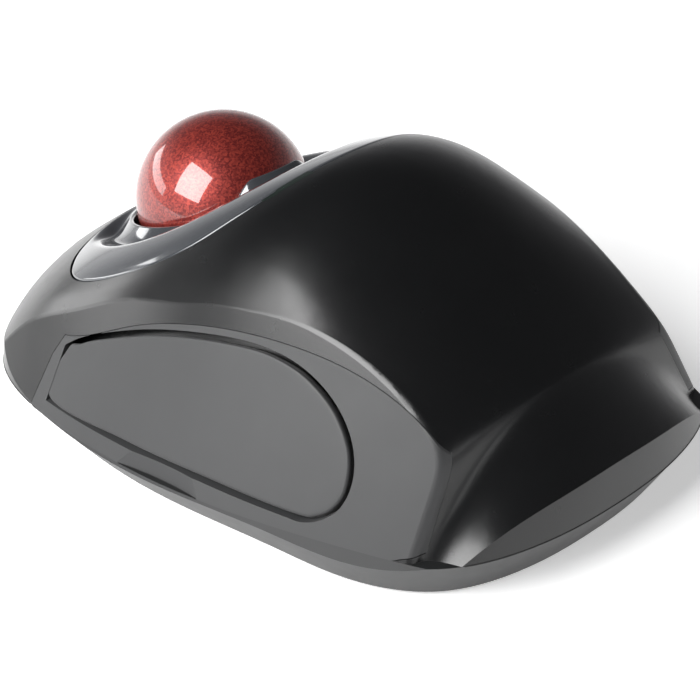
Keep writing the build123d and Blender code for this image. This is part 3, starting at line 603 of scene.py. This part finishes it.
seam_shadow_strip = painted_seam_shadow()
# the strip's near-black colour is painted shade in the seam
seam_shadow_black = moulded_plastic(
    "seam_shadow_black",
    dark=(0.001, 0.001, 0.001),
    light=(0.002, 0.002, 0.002),
    rough=(0.6, 0.8),
    grain_scale=5000,
    grain_depth=1e-5,
)
seam_shadow_strip.data.materials.append(seam_shadow_black)
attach(seam_shadow_strip, "housing")

# --- rubber feet --------------------------------------------------------------
# Four round non-slip pads of black rubber, stuck to the underside on the plane
# that the whole device stands on.
foot_rubber = moulded_plastic(
    "foot_rubber",
    dark=(0.016, 0.016, 0.017),
    light=(0.026, 0.026, 0.027),
    rough=(0.7, 0.85),
    grain_scale=5000,
    grain_depth=2.5e-5,
)
paint_node("rubber_feet", foot_rubber)

# --- metal pieces -------------------------------------------------------------
# Hinge pins, case screws, cell springs and contacts, the shield over the radio
# and the receiver's plug are nickel-plated steel, drawn or stamped.
HAZE_SCALE = 700


def plated_steel():
    made, tree, shader = new_material("plated_steel")
    shader.inputs["Metallic"].default_value = 1.0
    haze = object_noise(tree, HAZE_SCALE, detail=6)
    shades = two_tone(tree, haze, dark=(0.50, 0.50, 0.51), light=(0.66, 0.65, 0.63))
    tree.links.new(shades, shader.inputs["Base Color"])
    tree.links.new(spread(tree, haze, 0.24, 0.42), shader.inputs["Roughness"])
    grain(tree, shader, scale=2500, depth=6e-6, strength=0.3)
    return made


steel = plated_steel()
METAL = (
    "left_hinge_pin", "right_hinge_pin", "case_screws", "cell_springs", "cell_contacts",
    "radio_can", "receiver_plug",
)
for node in METAL:
    paint_node(node, steel)

# --- inner mouldings ----------------------------------------------------------
# The ball cup, power slider, switch bodies and receiver cap are moulded in
# plain black and dark grey plastics. The white pieces are the switch plungers,
# the indicator's light, the antenna and the ball's three bearings.
cup_grey = moulded_plastic(
    "cup_grey",
    dark=(0.030, 0.031, 0.033),
    light=(0.045, 0.046, 0.048),
    rough=(0.38, 0.5),
    grain_scale=5000,
    grain_depth=1e-5,
)
for node in ("ball_cup", "power_knob"):
    paint_node(node, cup_grey)
switch_black = moulded_plastic(
    "switch_black",
    dark=(0.010, 0.010, 0.011),
    light=(0.018, 0.018, 0.019),
    rough=(0.3, 0.42),
    grain_scale=5000,
    grain_depth=1e-5,
)
for node in ("left_switch", "right_switch", "power_switch", "receiver_cap"):
    paint_node(node, switch_black)
part_white = moulded_plastic(
    "part_white",
    dark=(0.62, 0.62, 0.60),
    light=(0.74, 0.74, 0.71),
    rough=(0.25, 0.4),
    grain_scale=4000,
    grain_depth=5e-6,
)
for node in ("left_plunger", "right_plunger", "indicator_led", "antenna", "ball_bearings"):
    paint_node(node, part_white)

# --- electronics --------------------------------------------------------------
# Glass-epoxy boards under green solder mask carry the epoxy-moulded chips. The
# copper shows faintly through the mask as lighter tracks.


def circuit_board():
    # green solder mask over a grid of faint tracks
    made, tree, shader = new_material("circuit_board")
    place = tree.nodes.new("ShaderNodeTexCoord")
    tracks = tree.nodes.new("ShaderNodeTexBrick")
    tracks.inputs["Scale"].default_value = 220
    tracks.inputs["Mortar Size"].default_value = 0.03
    tracks.inputs["Color1"].default_value = (0.008, 0.085, 0.028, 1)
    tracks.inputs["Color2"].default_value = (0.010, 0.105, 0.034, 1)
    tracks.inputs["Mortar"].default_value = (0.03, 0.2, 0.07, 1)
    tree.links.new(place.outputs["Object"], tracks.inputs["Vector"])
    tree.links.new(tracks.outputs["Color"], shader.inputs["Base Color"])
    haze = object_noise(tree, scale=300, detail=3)
    tree.links.new(spread(tree, haze, 0.22, 0.34), shader.inputs["Roughness"])
    return made


board = circuit_board()
for node in ("main_board", "sensor_board", "touch_ring"):
    paint_node(node, board)
chip_epoxy = moulded_plastic(
    "chip_epoxy",
    dark=(0.012, 0.012, 0.012),
    light=(0.02, 0.02, 0.02),
    rough=(0.5, 0.65),
    grain_scale=6000,
    grain_depth=1e-5,
)
for node in ("control_chip", "sensor_chip"):
    paint_node(node, chip_epoxy)

# --- cells --------------------------------------------------------------------
# Two standard round cells in printed sleeves: a dark sleeve with a copper band
# at the positive end, and bare metal at both ends.
BARE_METAL = (0.45, 0.45, 0.46, 1)
SLEEVE_DARK = (0.012, 0.012, 0.014, 1)
SLEEVE_COPPER = (0.42, 0.15, 0.05, 1)


def cell_sleeve():
    made, tree, shader = new_material("cell_sleeve")
    low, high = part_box("left_cell")
    place = tree.nodes.new("ShaderNodeTexCoord")
    split = tree.nodes.new("ShaderNodeSeparateXYZ")
    tree.links.new(place.outputs["Object"], split.inputs["Vector"])
    along = tree.nodes.new("ShaderNodeMapRange")
    # the cell lies along Y, so the bands follow that axis
    along.inputs["From Min"].default_value = low[1]
    along.inputs["From Max"].default_value = high[1]
    tree.links.new(split.outputs["Y"], along.inputs["Value"])
    ramp = tree.nodes.new("ShaderNodeValToRGB")
    ramp.color_ramp.interpolation = "CONSTANT"
    ramp.color_ramp.elements[0].color = BARE_METAL
    ramp.color_ramp.elements[1].position = 0.05
    ramp.color_ramp.elements[1].color = SLEEVE_COPPER
    for spot, colour in ((0.3, SLEEVE_DARK), (0.985, BARE_METAL)):
        ramp.color_ramp.elements.new(spot).color = colour
    tree.links.new(along.outputs["Result"], ramp.inputs["Fac"])
    tree.links.new(ramp.outputs["Color"], shader.inputs["Base Color"])
    scuff = object_noise(tree, scale=350, detail=5)
    tree.links.new(spread(tree, scuff, 0.2, 0.36), shader.inputs["Roughness"])
    shader.inputs["Metallic"].default_value = 0.7
    return made


sleeve = cell_sleeve()
for node in ("left_cell", "right_cell"):
    paint_node(node, sleeve)

# --- studio -------------------------------------------------------------------
# A plain pale floor, one large soft box over the left shoulder, a long low box
# in front and a weak one behind, with the camera above the rear left corner.
FLOOR_HALF = 1.6
MIDDLE = (0, 0, 0.03)


def pale_floor():
    mesh = bpy.data.meshes.new("studio_floor")
    corners = [(x * FLOOR_HALF, y * FLOOR_HALF, 0) for x, y in ((-1, -1), (1, -1), (1, 1), (-1, 1))]
    mesh.from_pydata(corners, [], [(0, 1, 2, 3)])
    piece = bpy.data.objects.new("studio_floor", mesh)
    bpy.context.scene.collection.objects.link(piece)
    made, tree, shader = new_material("pale_floor")
    shade = object_noise(tree, scale=6, detail=3)
    shades = two_tone(tree, shade, dark=(0.90, 0.90, 0.90), light=(0.93, 0.93, 0.93))
    tree.links.new(shades, shader.inputs["Base Color"])
    shader.inputs["Roughness"].default_value = 0.9
    shader.inputs["Specular IOR Level"].default_value = 0.1
    shader.inputs["Emission Color"].default_value = (1, 1, 1, 1)
    shader.inputs["Emission Strength"].default_value = 0.45
    # the floor shows only from above, so that the underside can be looked at
    side = tree.nodes.new("ShaderNodeNewGeometry")
    clear = tree.nodes.new("ShaderNodeBsdfTransparent")
    either = tree.nodes.new("ShaderNodeMixShader")
    tree.links.new(side.outputs["Backfacing"], either.inputs["Fac"])
    tree.links.new(shader.outputs["BSDF"], either.inputs[1])
    tree.links.new(clear.outputs["BSDF"], either.inputs[2])
    tree.links.new(either.outputs["Shader"], tree.nodes["Material Output"].inputs["Surface"])
    mesh.materials.append(made)


def soft_box(name, place, aim, width, height, watts):
    data = bpy.data.lights.new(name, "AREA")
    data.shape = "RECTANGLE"
    data.size = width
    data.size_y = height
    data.energy = watts
    lamp = bpy.data.objects.new(name, data)
    bpy.context.scene.collection.objects.link(lamp)
    lamp.location = place
    lamp.rotation_euler = (Vector(aim) - Vector(place)).to_track_quat("-Z", "Y").to_euler()


def studio_world():
    # pale at the horizon and dim overhead in reflections, plain white to the camera
    world = bpy.data.worlds.new("studio_world")
    bpy.context.scene.world = world
    world.use_nodes = True
    tree = world.node_tree
    back = tree.nodes["Background"]
    place = tree.nodes.new("ShaderNodeTexCoord")
    split = tree.nodes.new("ShaderNodeSeparateXYZ")
    tree.links.new(place.outputs["Generated"], split.inputs["Vector"])
    ramp = tree.nodes.new("ShaderNodeValToRGB")
    ramp.color_ramp.elements[0].position = 0.0
    ramp.color_ramp.elements[0].color = (0.85, 0.85, 0.86, 1)
    ramp.color_ramp.elements[1].position = 0.6
    ramp.color_ramp.elements[1].color = (0.05, 0.05, 0.052, 1)
    ramp.color_ramp.elements.new(0.22).color = (0.25, 0.25, 0.26, 1)
    tree.links.new(split.outputs["Z"], ramp.inputs["Fac"])
    rays = tree.nodes.new("ShaderNodeLightPath")
    seen = tree.nodes.new("ShaderNodeMix")
    seen.data_type = "RGBA"
    seen.inputs["B"].default_value = (1, 1, 1, 1)
    tree.links.new(rays.outputs["Is Camera Ray"], seen.inputs["Factor"])
    tree.links.new(ramp.outputs["Color"], seen.inputs["A"])
    tree.links.new(seen.outputs["Result"], back.inputs["Color"])
    back.inputs["Strength"].default_value = 1.0


def photo_camera():
    # the view solved from the photograph: angles, distance, lens and shift
    data = bpy.data.cameras.new("studio_camera")
    data.lens = 106.5
    data.sensor_width = 36
    data.shift_x = -0.0164
    data.shift_y = -0.0547
    data.clip_start = 0.01
    data.clip_end = 10
    camera = bpy.data.objects.new("studio_camera", data)
    bpy.context.scene.collection.objects.link(camera)
    bpy.context.scene.camera = camera
    target = Vector((0, -0.0005, 0.01824))
    azimuth, elevation, distance = math.radians(-43.9), math.radians(31.86), 0.3465
    back = Vector((
        math.sin(azimuth) * math.cos(elevation),
        -math.cos(azimuth) * math.cos(elevation),
        math.sin(elevation),
    ))
    camera.location = target + back * distance
    camera.rotation_euler = (-back).to_track_quat("-Z", "Y").to_euler()


pale_floor()
photo_camera()
studio_world()
soft_box("key_box", (-0.52, 0.06, 0.44), MIDDLE, width=0.46, height=0.46, watts=8)
soft_box("front_box", (-0.35, 0.75, 0.18), MIDDLE, width=0.8, height=0.16, watts=2)
soft_box("rear_box", (-0.05, -0.85, 0.30), MIDDLE, width=0.6, height=0.2, watts=0.6)
bpy.context.scene.view_settings.view_transform = "Standard"
